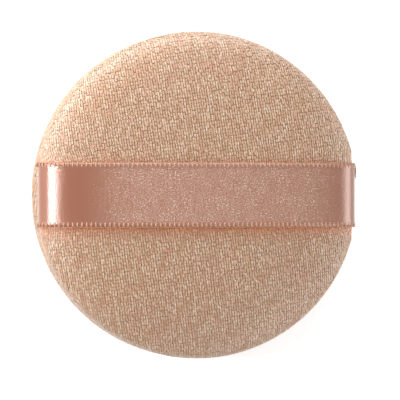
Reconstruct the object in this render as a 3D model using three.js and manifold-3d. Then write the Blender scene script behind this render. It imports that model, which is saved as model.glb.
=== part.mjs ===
// A round velour powder puff with a satin ribbon handle, lying with its powder face on the table.
// Units are millimetres and +Z is up. The origin is on the table under the middle of the pad, and
// the ribbon runs along X. Heights inside the functions are counted from the rim seam's middle plane.
import * as THREE from "three";
import { mergeVertices } from "three/addons/utils/BufferGeometryUtils.js";
import Module from "manifold-3d";

// Stuffed pad
const padDiameter = 80; // over the pile at the widest part of the rim
const padHeight = 20; // table to the top of the crown
const seamHeight = 8.6; // table to the middle plane of the rim seam
const seamDraw = 1.2; // how far the seam lies inside the widest part of the rim
const restDiameter = 44; // where the powder face lies flat on the table
const backLobeShare = 0.22; // how far up the back it is widest
const faceLobeShare = 0.4; // how far down the powder face it is widest
const crownShare = 0.08; // how much of the back's height is one shallow dome
const shoulderPower = 2.7; // roundness of the rim: 2 is an ellipse, and more is squarer

// Velour covers
const velourThickness = 1.6; // knitted ground and pile
const allowanceWidth = 6; // cloth turned in at the rim seam
const allowanceThickness = 0.9; // the pile is crushed there

// Satin ribbon
const ribbonWidth = 15.8;
const ribbonThickness = 0.3;
const selvedgeWidth = 1.1; // the looped woven edge
const selvedgeRise = 0.1; // how far it stands proud of each face
const ribbonTail = 5.4; // length caught between the two allowances
const ribbonBow = 0.1; // how much further its middle stands off the crown than its ends off the rim
const ribbonDraw = 1.4; // how far the ribbon pulls the rim in at each end
const drawSpread = 3.5; // how far along the rim the pull fades out beside the ribbon
const drawBlend = 14; // how far the pull fades out towards the middle of the pad

// Thread and stitches
const threadDiameter = 0.25;
const threadEnd = 1.4; // loose end past the first and last needle hole
const threadBend = 0.35; // how sharply a thread turns into its needle hole
const seamInset = 2.4; // fold of the rim to the machine seam
const seamStitch = 7.5;
const closingInset = 1.8; // fold of the rim to the hand-sewn closing
const closingStitch = 7;
const turningGap = 34; // length of rim left open to turn the puff right side out
const tackMargin = 1.1; // cut end of a ribbon tail to the row that holds it
const tackStitch = 6;
const tackWidth = 12;

// Clearances
const clearance = 0.3; // between soft pieces that lie on each other
const tailClearance = 0.2; // between a ribbon tail and the pocket it presses in the pile
const threadClearance = 0.12; // between a thread and what it passes
const cutOverrun = 0.3; // how far a needle hole's cutter runs past the cloth

// Fineness of the surfaces
const rimSegments = 40;
const shoulderSteps = 6;
const innerShoulderSteps = 3;
const ribbonShoulderSteps = 12;
const foldSteps = 3;
const loopSteps = 3;
const threadSides = 4;
const holeSides = 4;

// Sizes that follow
const quarterTurn = Math.PI / 2;
const halfTurn = Math.PI;
const rimRadius = padDiameter / 2;
const foldRadius = rimRadius - seamDraw;
const allowanceEnd = foldRadius - allowanceWidth;
const selvedgeThickness = ribbonThickness + 2 * selvedgeRise;
const gapHalf = clearance / 2; // half the room between the allowances
const stackHalf = gapHalf + allowanceThickness; // seam plane to the far side of an allowance
const threadRadius = threadDiameter / 2;
const runHeight = stackHalf + threadRadius + threadClearance; // where a thread runs along the cloth
const linkReach = threadRadius + threadClearance; // how far past the seam plane the loops link
const legOffset = threadDiameter + threadClearance; // half the distance between a loop's legs
const needleHoleRadius = legOffset + threadRadius + threadClearance;
const backTop = padHeight - seamHeight;
const backLobe = backTop * backLobeShare;
const faceLobe = seamHeight * faceLobeShare;
const crownRise = backTop * crownShare;
const seamRadius = foldRadius - seamInset;
const closingRadius = foldRadius - closingInset;
const tackRadius = foldRadius - ribbonTail + tackMargin;
const slotEnd = foldRadius - Math.max(allowanceWidth, ribbonTail) - clearance;

const wasm = await Module();
wasm.setup();

const solidOf = (geometry) => {
  const bare = geometry.clone();
  bare.deleteAttribute("normal");
  bare.deleteAttribute("uv");
  const merged = mergeVertices(bare);
  return new wasm.Manifold(
    new wasm.Mesh({
      numProp: 3,
      vertProperties: new Float32Array(merged.attributes.position.array),
      triVerts: new Uint32Array(merged.index.array),
    }),
  );
};

const geometryOf = (solid) => {
  const { vertProperties, triVerts } = solid.getMesh();
  const geometry = new THREE.BufferGeometry();
  geometry.setAttribute("position", new THREE.BufferAttribute(vertProperties, 3));
  geometry.setIndex(new THREE.BufferAttribute(triVerts, 1));
  geometry.computeVertexNormals();
  return geometry;
};

// Copies of a flat section, one after the other, joined into a closed body. The section's points run
// anticlockwise as seen from the last copy.
function loft(section, rings) {
  const sides = section.length;
  const triangles = [];
  for (let ring = 0; ring + 1 < rings.length; ring++) {
    for (let i = 0; i < sides; i++) {
      const [a, b] = [ring * sides + i, ring * sides + ((i + 1) % sides)];
      triangles.push(a, b, b + sides, a, b + sides, a + sides);
    }
  }
  const last = (rings.length - 1) * sides;
  for (const [p, q, r] of THREE.ShapeUtils.triangulateShape(section, [])) {
    triangles.push(r, q, p, last + p, last + q, last + r);
  }
  const geometry = new THREE.BufferGeometry().setFromPoints(rings.flat());
  geometry.setIndex(triangles);
  geometry.computeVertexNormals();
  return geometry;
}

// Each end of the ribbon pulls the rim in to a straight chord, and the cloth, foam and stitches
// round it move along. The widest part of the powder face, below the seam, stays where it is.
function drawnIn(point) {
  const { smoothstep } = THREE.MathUtils;
  const aside = Math.abs(point.y);
  const chord = Math.min(aside, ribbonWidth / 2);
  const bulge = rimRadius - Math.sqrt(rimRadius ** 2 - chord ** 2);
  const beside = 1 - smoothstep(aside, ribbonWidth / 2, ribbonWidth / 2 + drawSpread);
  const outward = smoothstep(Math.abs(point.x), slotEnd - drawBlend, slotEnd);
  const above = 1 - smoothstep(-point.z, runHeight + threadRadius, faceLobe);
  point.x -= Math.sign(point.x) * (ribbonDraw - bulge) * beside * outward * above;
  return point;
}

function allDrawnIn(geometry) {
  const position = geometry.attributes.position;
  const point = new THREE.Vector3();
  for (let i = 0; i < position.count; i++) {
    drawnIn(point.fromBufferAttribute(position, i));
    position.setXYZ(i, point.x, point.y, point.z);
  }
  return geometry;
}

// From the middle of a cover out to its widest part: a squared-off quarter ellipse beyond the flat,
// with a shallow dome on top of it. Points are (radius, height over the seam plane).
function shoulder({ radius, lobe, top, flatRadius, crown, steps }) {
  return Array.from({ length: steps + 1 }, (_, step) => {
    const turn = (step / steps) * quarterTurn;
    const out = Math.sin(turn) ** (2 / shoulderPower);
    const up = Math.cos(turn) ** (2 / shoulderPower);
    const r = flatRadius + (radius - flatRadius) * out;
    const dome = crown * (1 - (r / radius) ** 2);
    return new THREE.Vector2(r, lobe + (top - crown - lobe) * up + dome);
  });
}

// From the widest part down into the seam: a quarter ellipse that ends level with the allowance.
function fold({ radius, lobe, floor }) {
  return Array.from({ length: foldSteps }, (_, step) => {
    const turn = ((step + 1) / foldSteps) * quarterTurn;
    const r = radius - seamDraw * (1 - Math.cos(turn));
    return new THREE.Vector2(r, lobe - (lobe - floor) * Math.sin(turn));
  });
}

// The outline from the axis over the shoulder and into the seam, inset from the cover's outside.
function padOutline({ inset, floor, lobe, top, flatRadius, crown, steps }) {
  const radius = rimRadius - inset;
  const curve = shoulder({ radius, lobe, top: top - inset, flatRadius, crown, steps });
  const middle = flatRadius > 0 ? [new THREE.Vector2(0, curve[0].y)] : [];
  return [...middle, ...curve, ...fold({ radius, lobe, floor })];
}

const backForm = { lobe: backLobe, top: backTop, flatRadius: 0, crown: crownRise };
const faceForm = { lobe: faceLobe, top: seamHeight, flatRadius: restDiameter / 2, crown: 0 };

function revolve(profile) {
  return new THREE.LatheGeometry(profile, rimSegments).rotateX(quarterTurn);
}

// A cover is a cup of velour whose rim is folded in to a flat allowance.
function coverCup(form) {
  const outside = padOutline({ ...form, inset: 0, floor: gapHalf, steps: shoulderSteps });
  const inside = padOutline({
    ...form,
    inset: velourThickness,
    floor: stackHalf,
    steps: innerShoulderSteps,
  });
  const cutEdge = [
    new THREE.Vector2(allowanceEnd, gapHalf),
    new THREE.Vector2(allowanceEnd, stackHalf),
  ];
  return revolve([...outside, ...cutEdge, ...inside.reverse()].reverse());
}

// The foam fills both cups, and a slot round its rim takes the allowances and the stitches.
function foamBody() {
  const inset = velourThickness + clearance;
  const floor = runHeight + threadRadius + threadClearance;
  const steps = innerShoulderSteps;
  const back = padOutline({ ...backForm, inset, floor, steps });
  const face = padOutline({ ...faceForm, inset, floor, steps });
  const upper = [...back, new THREE.Vector2(slotEnd, floor)];
  const lower = [...face, new THREE.Vector2(slotEnd, floor)];
  const mirrored = lower.map((point) => new THREE.Vector2(point.x, -point.y));
  return revolve([...mirrored, ...upper.reverse()]);
}

// The places where a needle went through, evenly spaced along an arc of the rim.
function needleAngles({ radius, from, to, stitch }) {
  const count = Math.max(1, Math.round((radius * (to - from)) / stitch));
  return Array.from({ length: count + 1 }, (_, i) => from + ((to - from) * i) / count);
}

const rimPoint = (radius, angle, height) =>
  drawnIn(new THREE.Vector3(radius * Math.cos(angle), radius * Math.sin(angle), height));

// A tube of thread through the given points. Its section turns as little as the path allows.
function threadThrough(points) {
  const section = Array.from({ length: threadSides }, (_, k) => {
    const turn = ((k + 1 / 2) / threadSides) * 2 * halfTurn;
    return new THREE.Vector2(threadRadius * Math.cos(turn), threadRadius * Math.sin(turn));
  });
  const side = new THREE.Vector3(0, 0, 1);
  const rings = points.map((point, i) => {
    const before = points[Math.max(i - 1, 0)];
    const after = points[Math.min(i + 1, points.length - 1)];
    const along = after.clone().sub(before).normalize();
    side.addScaledVector(along, -side.dot(along)).normalize();
    const other = along.clone().cross(side);
    return section.map(({ x, y }) =>
      point.clone().addScaledVector(side, x).addScaledVector(other, y),
    );
  });
  return loft(section, rings);
}

// The upper thread of the machine seam. It runs on the back allowance, and at each needle hole it
// dips through to hold the lower thread, changing from one side of the stitch line to the other.
function needleThread({ radius, angles }) {
  const bend = threadBend / radius;
  const loopMiddle = legOffset - linkReach;
  const points = [rimPoint(radius + legOffset, angles[0] - threadEnd / radius, runHeight)];
  angles.forEach((angle, i) => {
    const side = i % 2 ? -legOffset : legOffset;
    points.push(rimPoint(radius + side, angle - bend, runHeight));
    points.push(rimPoint(radius + side, angle, runHeight - threadBend));
    for (let step = 0; step <= loopSteps; step++) {
      const turn = (step / loopSteps) * halfTurn;
      const height = loopMiddle - legOffset * Math.sin(turn);
      points.push(rimPoint(radius + side * Math.cos(turn), angle, height));
    }
    points.push(rimPoint(radius - side, angle, runHeight - threadBend));
    points.push(rimPoint(radius - side, angle + bend, runHeight));
  });
  const lastSide = angles.length % 2 ? -legOffset : legOffset;
  points.push(rimPoint(radius + lastSide, angles.at(-1) + threadEnd / radius, runHeight));
  return threadThrough(points);
}

// The lower thread of the machine seam. It runs on the face allowance, and its loops stand along
// the stitch line, over the dips of the upper thread.
function bobbinThread({ radius, angles }) {
  const leg = legOffset / radius;
  const bend = threadBend / radius;
  const loopMiddle = linkReach - legOffset;
  const points = [rimPoint(radius, angles[0] - threadEnd / radius, -runHeight)];
  for (const angle of angles) {
    points.push(rimPoint(radius, angle - leg - bend, -runHeight));
    points.push(rimPoint(radius, angle - leg, threadBend - runHeight));
    for (let step = 0; step <= loopSteps; step++) {
      const turn = (step / loopSteps) * halfTurn;
      const height = loopMiddle + legOffset * Math.sin(turn);
      points.push(rimPoint(radius, angle - leg * Math.cos(turn), height));
    }
    points.push(rimPoint(radius, angle + leg, threadBend - runHeight));
    points.push(rimPoint(radius, angle + leg + bend, -runHeight));
  }
  points.push(rimPoint(radius, angles.at(-1) + threadEnd / radius, -runHeight));
  return threadThrough(points);
}

// A hand-sewn row: one thread that goes through both allowances at each hole, back and forth.
function runningThread({ radius, angles }) {
  const bend = threadBend / radius;
  const points = [rimPoint(radius, angles[0] - threadEnd / radius, runHeight)];
  angles.forEach((angle, i) => {
    const side = i % 2 ? -1 : 1;
    points.push(rimPoint(radius, angle - bend, side * runHeight));
    points.push(rimPoint(radius, angle, side * (runHeight - threadBend)));
    points.push(rimPoint(radius, angle, -side * (runHeight - threadBend)));
    points.push(rimPoint(radius, angle + bend, -side * runHeight));
  });
  const lastHeight = angles.length % 2 ? -runHeight : runHeight;
  points.push(rimPoint(radius, angles.at(-1) + threadEnd / radius, lastHeight));
  return threadThrough(points);
}

// Cutters for the needle holes of a row, standing through both allowances.
function needleHoles({ radius, angles }, holeRadius) {
  const height = 2 * (stackHalf + cutOverrun);
  const outerRadius = holeRadius / Math.cos(Math.PI / holeSides);
  return angles.map((angle) => {
    const { x, y } = rimPoint(radius, angle, 0);
    const cutter = new THREE.CylinderGeometry(outerRadius, outerRadius, height, holeSides);
    return solidOf(cutter.rotateX(quarterTurn).rotateZ(angle).translate(x, y, 0));
  });
}

const pierced = (geometry, cutters) =>
  geometryOf(solidOf(geometry).subtract(wasm.Manifold.union(cutters)));

// The machine seam runs round the rim from one side of the turning gap to the other.
const gapAngle = turningGap / seamRadius;
const machineRow = {
  radius: seamRadius,
  angles: needleAngles({
    radius: seamRadius,
    from: quarterTurn + gapAngle / 2,
    to: quarterTurn + 2 * halfTurn - gapAngle / 2,
    stitch: seamStitch,
  }),
};
const closingRow = {
  radius: closingRadius,
  angles: needleAngles({
    radius: closingRadius,
    from: quarterTurn - gapAngle / 2,
    to: quarterTurn + gapAngle / 2,
    stitch: closingStitch,
  }),
};
const tackRow = (middle) => ({
  radius: tackRadius,
  angles: needleAngles({
    radius: tackRadius,
    from: middle - tackWidth / 2 / tackRadius,
    to: middle + tackWidth / 2 / tackRadius,
    stitch: tackStitch,
  }),
});
const rightTackRow = tackRow(0);
const leftTackRow = tackRow(halfTurn);
const threadHoleRadius = threadRadius + threadClearance;
const allHoles = [
  ...needleHoles(machineRow, needleHoleRadius),
  ...needleHoles(closingRow, threadHoleRadius),
  ...needleHoles(rightTackRow, threadHoleRadius),
  ...needleHoles(leftTackRow, threadHoleRadius),
];

// The tails press their own shape into the pile of the allowances.
const tailPocket = solidOf(
  new THREE.BoxGeometry(
    padDiameter,
    ribbonWidth + 2 * tailClearance,
    selvedgeThickness + 2 * tailClearance,
  ),
);

// Side view of half the ribbon, from the middle of its bow out over the shoulder, round the edge of
// the back cover and in between the allowances. Points are (distance along X, height).
function ribbonHalf() {
  const standOff = clearance + selvedgeThickness / 2;
  const radius = rimRadius - ribbonDraw + standOff;
  const crown = crownRise + ribbonBow;
  const top = backTop + standOff + ribbonBow;
  const over = shoulder({
    radius,
    lobe: backLobe,
    top,
    flatRadius: 0,
    crown,
    steps: ribbonShoulderSteps,
  });
  const mouth = radius - seamDraw;
  const round = Array.from({ length: foldSteps }, (_, step) => {
    const turn = ((step + 1) / foldSteps) * quarterTurn;
    const x = mouth + (radius - mouth) * Math.cos(turn);
    return new THREE.Vector2(x, backLobe * (1 - Math.sin(turn)));
  });
  return [...over, ...round, new THREE.Vector2(foldRadius - ribbonDraw - ribbonTail, 0)];
}

// The ribbon's section: thin in the middle, with a thicker rounded edge on both sides. Points are
// (distance across, height), from one edge over the top and back underneath.
function ribbonSection() {
  const edge = ribbonWidth / 2;
  const thin = ribbonThickness / 2;
  const thick = selvedgeThickness / 2;
  const quarter = [
    [edge, thick / 2],
    [edge - thick / 2, thick],
    [edge - selvedgeWidth, thick],
    [edge - selvedgeWidth - selvedgeRise, thin],
  ];
  const over = [...quarter, ...quarter.map(([y, h]) => [-y, h]).reverse()];
  const outline = [...over, ...over.map(([y, h]) => [y, -h]).reverse()];
  return outline.map(([y, h]) => new THREE.Vector2(y, h));
}

// The ribbon is one strip of constant section, laid along its side view.
function ribbonStrip() {
  const half = ribbonHalf();
  const mirrored = half.slice(1).map((point) => new THREE.Vector2(-point.x, point.y));
  const line = [...mirrored.reverse(), ...half];
  const section = ribbonSection();
  const rings = line.map((point, i) => {
    const along = line[Math.min(i + 1, line.length - 1)].clone();
    along.sub(line[Math.max(i - 1, 0)]).normalize();
    return section.map(
      ({ x: across, y: up }) =>
        new THREE.Vector3(point.x - along.y * up, across, point.y + along.x * up),
    );
  });
  return loft(section, rings);
}

const velour = new THREE.MeshStandardMaterial({ color: "#d7b095", roughness: 1 });
const satin = new THREE.MeshStandardMaterial({ color: "#c9937d", roughness: 0.35 });
const foam = new THREE.MeshStandardMaterial({ color: "#efe6cf", roughness: 0.95 });
const thread = new THREE.MeshStandardMaterial({ color: "#e0b9a2", roughness: 0.6 });

function piece(name, geometry, material) {
  const mesh = new THREE.Mesh(geometry, material);
  mesh.name = name;
  return mesh;
}

const coverCuts = [...allHoles, tailPocket];
const backCup = coverCup(backForm);
const faceCup = coverCup(faceForm).rotateX(halfTurn);

const puff = new THREE.Group();
puff.name = "powder_puff";
puff.position.z = seamHeight;
puff.add(
  piece("back_cover", pierced(allDrawnIn(backCup), coverCuts), velour),
  piece("face_cover", pierced(allDrawnIn(faceCup), coverCuts), velour),
  piece("foam_core", allDrawnIn(foamBody()), foam),
  piece("satin_ribbon", pierced(ribbonStrip(), allHoles), satin),
  piece("rim_needle_thread", needleThread(machineRow), thread),
  piece("rim_bobbin_thread", bobbinThread(machineRow), thread),
  piece("closing_thread", runningThread(closingRow), thread),
  piece("ribbon_tack_right", runningThread(rightTackRow), thread),
  piece("ribbon_tack_left", runningThread(leftTackRow), thread),
);

export default puff;
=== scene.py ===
"""The looks of a round velour powder puff with a satin ribbon strap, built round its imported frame.

Everything is in metres, +Z is up, and the ribbon runs along X. Heights inside the pad's methods are
counted from the rim seam's middle plane, as in the construction.
"""

from __future__ import annotations

import logging
import math
from dataclasses import dataclass, field
from enum import Enum

import bpy
import numpy as np
from mathutils import Matrix, Vector


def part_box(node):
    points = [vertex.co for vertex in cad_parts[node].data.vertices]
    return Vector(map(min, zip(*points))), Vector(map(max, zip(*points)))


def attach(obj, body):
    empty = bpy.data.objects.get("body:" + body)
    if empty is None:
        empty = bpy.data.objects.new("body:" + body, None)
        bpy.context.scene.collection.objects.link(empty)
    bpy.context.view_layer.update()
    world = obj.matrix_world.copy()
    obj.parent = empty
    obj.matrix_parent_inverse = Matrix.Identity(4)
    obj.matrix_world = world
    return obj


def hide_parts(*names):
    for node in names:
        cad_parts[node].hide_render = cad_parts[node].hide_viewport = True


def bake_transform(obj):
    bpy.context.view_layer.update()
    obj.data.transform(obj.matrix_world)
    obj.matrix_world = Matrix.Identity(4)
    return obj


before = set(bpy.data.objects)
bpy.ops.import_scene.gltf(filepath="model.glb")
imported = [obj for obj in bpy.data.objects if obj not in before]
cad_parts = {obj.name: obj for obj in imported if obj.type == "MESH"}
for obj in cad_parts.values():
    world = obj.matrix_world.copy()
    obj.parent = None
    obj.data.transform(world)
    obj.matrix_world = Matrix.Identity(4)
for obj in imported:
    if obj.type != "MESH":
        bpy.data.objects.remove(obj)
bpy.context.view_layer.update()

log = logging.getLogger("powder_puff")

Colour = tuple[float, float, float]
Pair = tuple[float, float]

MILLIMETRES = 1000
FULL_TURN = 2 * math.pi
QUARTER_TURN = math.pi / 2
WHITE: Colour = (1.0, 1.0, 1.0)
# Stands in for a length of zero where one is divided by.
SHORTEST = 1e-9

# The map of a tube: its walls' height, the rows of one end's fan and the step to the other fan.
WALL_MAP = 0.94
FAN_MAP = (0.95, 0.95, 0.965)
FAN_MAP_STEP = 0.03
# What is left free between two columns of a map.
MAP_GAP = 0.01


class Body(str, Enum):
    """The bodies of the construction that pieces ride on."""

    PUFF = "puff"
    RIBBON = "ribbon"


class Slot(str, Enum):
    """The record's material slots."""

    VELOUR = "velour"
    SATIN = "satin"
    FOAM = "foam"
    THREAD = "thread"


def smooth_step(value: np.ndarray, low: float, high: float) -> np.ndarray:
    """Rises from 0 at low to 1 at high as 3t^2 - 2t^3."""
    share = np.clip((value - low) / (high - low), 0, 1)
    return share * share * (3 - 2 * share)


def unit(vectors: np.ndarray) -> np.ndarray:
    """Each vector divided by its length."""
    return vectors / np.linalg.norm(vectors, axis=-1, keepdims=True)


def turned(flat: np.ndarray, angle: float) -> np.ndarray:
    """Points of a plane turned anticlockwise: x cos - y sin, and x sin + y cos."""
    c, s = math.cos(angle), math.sin(angle)
    return flat @ np.array([[c, s], [-s, c]])


def run_along(points: np.ndarray) -> np.ndarray:
    """The length of a line of points up to each of them."""
    return np.concatenate([[0], np.cumsum(np.linalg.norm(np.diff(points, axis=0), axis=1))])


def looked_up(where: np.ndarray, length: np.ndarray, rows: np.ndarray) -> list[np.ndarray]:
    """Each column of a line's rows, read off at lengths along the line."""
    return [np.interp(where, length, column) for column in rows.T]


def revolved(profile: np.ndarray, segments: int) -> np.ndarray:
    """Turns a profile round the Z axis: radius times cos, radius times sin, and the height.

    Args:
        profile: Points (radius, height), one a row.
        segments: Steps of the full turn.

    Returns:
        Points as (profile's point, step, 3).
    """
    turn = np.arange(segments) * FULL_TURN / segments
    radius = profile[:, :1]
    height = np.broadcast_to(profile[:, 1:], (len(profile), segments))
    return np.stack([radius * np.cos(turn), radius * np.sin(turn), height], axis=-1)


def drifting_noise(
    places: np.ndarray, wavelength: float, seed: int, waves: int = 24, spread: float = 0.5
) -> np.ndarray:
    """A smooth random field: a sum of plane waves in random directions.

    Args:
        places: Points in a plane, one a row.
        wavelength: The middle of the waves' lengths.
        seed: Picks the waves.
        waves: How many waves are added.
        spread: The share by which their lengths differ from the middle one, either way.

    Returns:
        One number a point, with mean 0 and a spread of about 1.
    """
    random = np.random.default_rng(seed)
    turn = random.uniform(0, FULL_TURN, waves)
    rate = FULL_TURN / (wavelength * random.uniform(1 - spread, 1 + spread, waves))
    phase = random.uniform(0, FULL_TURN, waves)
    direction = np.stack([np.cos(turn), np.sin(turn)]) * rate
    return np.cos(places @ direction + phase).sum(axis=1) * math.sqrt(2 / waves)


@dataclass
class Surface:
    """Points and faces of one body of a mesh, with numbers kept at each point.

    Points may have normals of their own. A normal of zero leaves it to the faces. The maps lay each
    face's corners out flat in the unit square, where no two faces overlap.
    """

    points: np.ndarray
    quads: np.ndarray
    triangles: np.ndarray
    numbers: dict[str, np.ndarray] = field(default_factory=dict)
    normals: np.ndarray | None = None
    quad_map: np.ndarray | None = None
    triangle_map: np.ndarray | None = None

    @property
    def own_normals(self) -> np.ndarray:
        """The points' normals, which are zero where the faces decide."""
        return np.zeros_like(self.points) if self.normals is None else self.normals

    def mapped_into(self, low: Pair, high: Pair) -> Surface:
        """Shrinks the maps into one box of the unit square.

        Args:
            low: The box's lowest corner.
            high: Its highest corner.

        Returns:
            This surface.
        """
        size = np.subtract(high, low)
        self.quad_map = self.quad_map * size + low
        self.triangle_map = self.triangle_map * size + low
        return self

    def in_column(self, number: int, count: int) -> Surface:
        """This surface with its maps shrunk into one of count columns of the unit square."""
        return self.mapped_into((number / count, 0.0), ((number + 1) / count - MAP_GAP, 1.0))

    @staticmethod
    def joined(parts: list[Surface]) -> Surface:
        """Puts mapped surfaces together, each one's faces moved on by the points before it.

        Args:
            parts: The surfaces. A number that one of them lacks is 0 there.

        Returns:
            All of them as one surface.
        """
        counts = [len(part.points) for part in parts]
        starts = np.cumsum([0, *counts[:-1]])
        names = sorted({name for part in parts for name in part.numbers})
        numbers = {
            name: np.concatenate(
                [part.numbers.get(name, np.zeros(count)) for part, count in zip(parts, counts)]
            )
            for name in names
        }
        return Surface(
            np.concatenate([part.points for part in parts]),
            np.concatenate([part.quads + start for part, start in zip(parts, starts)]),
            np.concatenate([part.triangles + start for part, start in zip(parts, starts)]),
            numbers,
            np.concatenate([part.own_normals for part in parts]),
            np.concatenate([part.quad_map for part in parts]),
            np.concatenate([part.triangle_map for part in parts]),
        )

    @staticmethod
    def skinned(rings: np.ndarray) -> Surface:
        """A closed tube over rings of points, whose ends are fans round their middles.

        Args:
            rings: Points as (ring, side, 3), anticlockwise as seen from the last ring.

        Returns:
            The tube, with its two end middles as its last points.
        """
        count, sides = rings.shape[:2]
        ring, side = np.meshgrid(np.arange(count - 1), np.arange(sides), indexing="ij")
        here, on = ring * sides + side, ring * sides + (side + 1) % sides
        quads = np.stack([here, on, on + sides, here + sides], axis=-1).reshape(-1, 4)
        first, last, top = count * sides, count * sides + 1, (count - 1) * sides
        i = np.arange(sides)
        j = (i + 1) % sides
        start_fan = np.stack([j, i, np.full(sides, first)], axis=1)
        end_fan = np.stack([top + i, top + j, np.full(sides, last)], axis=1)
        u = (side[..., None] + (0, 1, 1, 0)) / sides
        v = (ring[..., None] + (0, 0, 1, 1)) / (count - 1) * WALL_MAP
        fan = np.stack([i + 1, i, i + 0.5], axis=1) / sides
        row = np.broadcast_to(FAN_MAP, fan.shape)
        start_map = np.stack([fan, row], axis=-1)
        end_map = np.stack([fan[:, [1, 0, 2]], row + FAN_MAP_STEP], axis=-1)
        return Surface(
            np.concatenate([rings.reshape(-1, 3), rings[[0, -1]].mean(axis=1)]),
            quads,
            np.concatenate([start_fan, end_fan]),
            quad_map=np.stack([u, v], axis=-1).reshape(-1, 4, 2),
            triangle_map=np.concatenate([start_map, end_map]),
        )

    @staticmethod
    def tube(
        path: np.ndarray,
        radius: np.ndarray | float,
        upright: np.ndarray,
        sides: int = 6,
        flatness: float = 1.0,
    ) -> Surface:
        """A closed round or flattened tube along a path.

        Each ring lies square to the path: cos along the path's cross product with upright, and sin
        along the cross product of the path with that.

        Args:
            path: Points, one a row.
            radius: The tube's radius, or one for each point.
            upright: A direction that the path never takes, or one for each point.
            sides: Corners of each ring.
            flatness: The share of the radius that the ring has along the first direction.

        Returns:
            The tube.
        """
        ahead = unit(np.gradient(path, axis=0))
        side = unit(np.cross(ahead, upright))
        other = np.cross(ahead, side)
        angle = np.arange(sides) * FULL_TURN / sides
        flat = side[:, None] * (np.cos(angle) * flatness)[:, None]
        ring = flat + other[:, None] * np.sin(angle)[:, None]
        return Surface.skinned(path[:, None] + ring * np.reshape(radius, (-1, 1, 1)))

    def to_object(self, name: str, material: bpy.types.Material) -> bpy.types.Object:
        """Makes a smooth-shaded Blender object at the origin, with the numbers as attributes.

        Args:
            name: The object's name.
            material: Its one material.

        Returns:
            The object, linked to the scene.
        """
        mesh = bpy.data.meshes.new(name)
        corners = np.concatenate([self.quads.ravel(), self.triangles.ravel()])
        sizes = np.repeat((4, 3), (len(self.quads), len(self.triangles)))
        starts = np.cumsum(sizes) - sizes
        mesh.vertices.add(len(self.points))
        mesh.vertices.foreach_set("co", self.points.astype(np.float32).ravel())
        mesh.loops.add(len(corners))
        mesh.loops.foreach_set("vertex_index", corners.astype(np.int32))
        mesh.polygons.add(len(starts))
        mesh.polygons.foreach_set("loop_start", starts.astype(np.int32))
        mesh.update(calc_edges=True)
        mesh.validate()
        mesh.shade_smooth()
        if self.own_normals.any():
            mesh.normals_split_custom_set_from_vertices(self.own_normals)
        if self.quad_map is not None:
            flat = np.concatenate([self.quad_map.ravel(), self.triangle_map.ravel()])
            mesh.uv_layers.new(name="OFBake").data.foreach_set("uv", flat.astype(np.float32))
        for key, values in self.numbers.items():
            attribute = mesh.attributes.new(key, "FLOAT", "POINT")
            attribute.data.foreach_set("value", values.astype(np.float32))
        mesh.materials.append(material)
        piece = bpy.data.objects.new(name, mesh)
        bpy.context.scene.collection.objects.link(piece)
        return piece


@dataclass(frozen=True)
class Wire:
    """A socket of a shader that carries a number, with Python's arithmetic on it."""

    graph: Graph
    socket: bpy.types.NodeSocket

    def _maths(self, operation: str, first: Wire | float, second: Wire | float) -> Wire:
        """One Math node on two values."""
        return self.graph.node("ShaderNodeMath", {"operation": operation}, {0: first, 1: second})

    def __add__(self, other: Wire | float) -> Wire:
        """self + other."""
        return self._maths("ADD", self, other)

    def __radd__(self, other: float) -> Wire:
        """other + self."""
        return self._maths("ADD", other, self)

    def __sub__(self, other: Wire | float) -> Wire:
        """self - other."""
        return self._maths("SUBTRACT", self, other)

    def __rsub__(self, other: float) -> Wire:
        """other - self."""
        return self._maths("SUBTRACT", other, self)

    def __mul__(self, other: Wire | float) -> Wire:
        """self * other."""
        return self._maths("MULTIPLY", self, other)

    def __rmul__(self, other: float) -> Wire:
        """other * self."""
        return self._maths("MULTIPLY", other, self)

    def larger(self, other: Wire) -> Wire:
        """The larger of two numbers."""
        return self._maths("MAXIMUM", self, other)

    def zigzag(self) -> Wire:
        """A triangle wave of a number of turns, from 0 to 1 and back."""
        return self._maths("PINGPONG", self, 0.5) * 2

    def step(self, low: float, high: float) -> Wire:
        """A smooth rise from 0 at low to 1 at high."""
        inputs = {"Value": self, "From Min": low, "From Max": high}
        return self.graph.node("ShaderNodeMapRange", {"interpolation_type": "SMOOTHSTEP"}, inputs)


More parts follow.
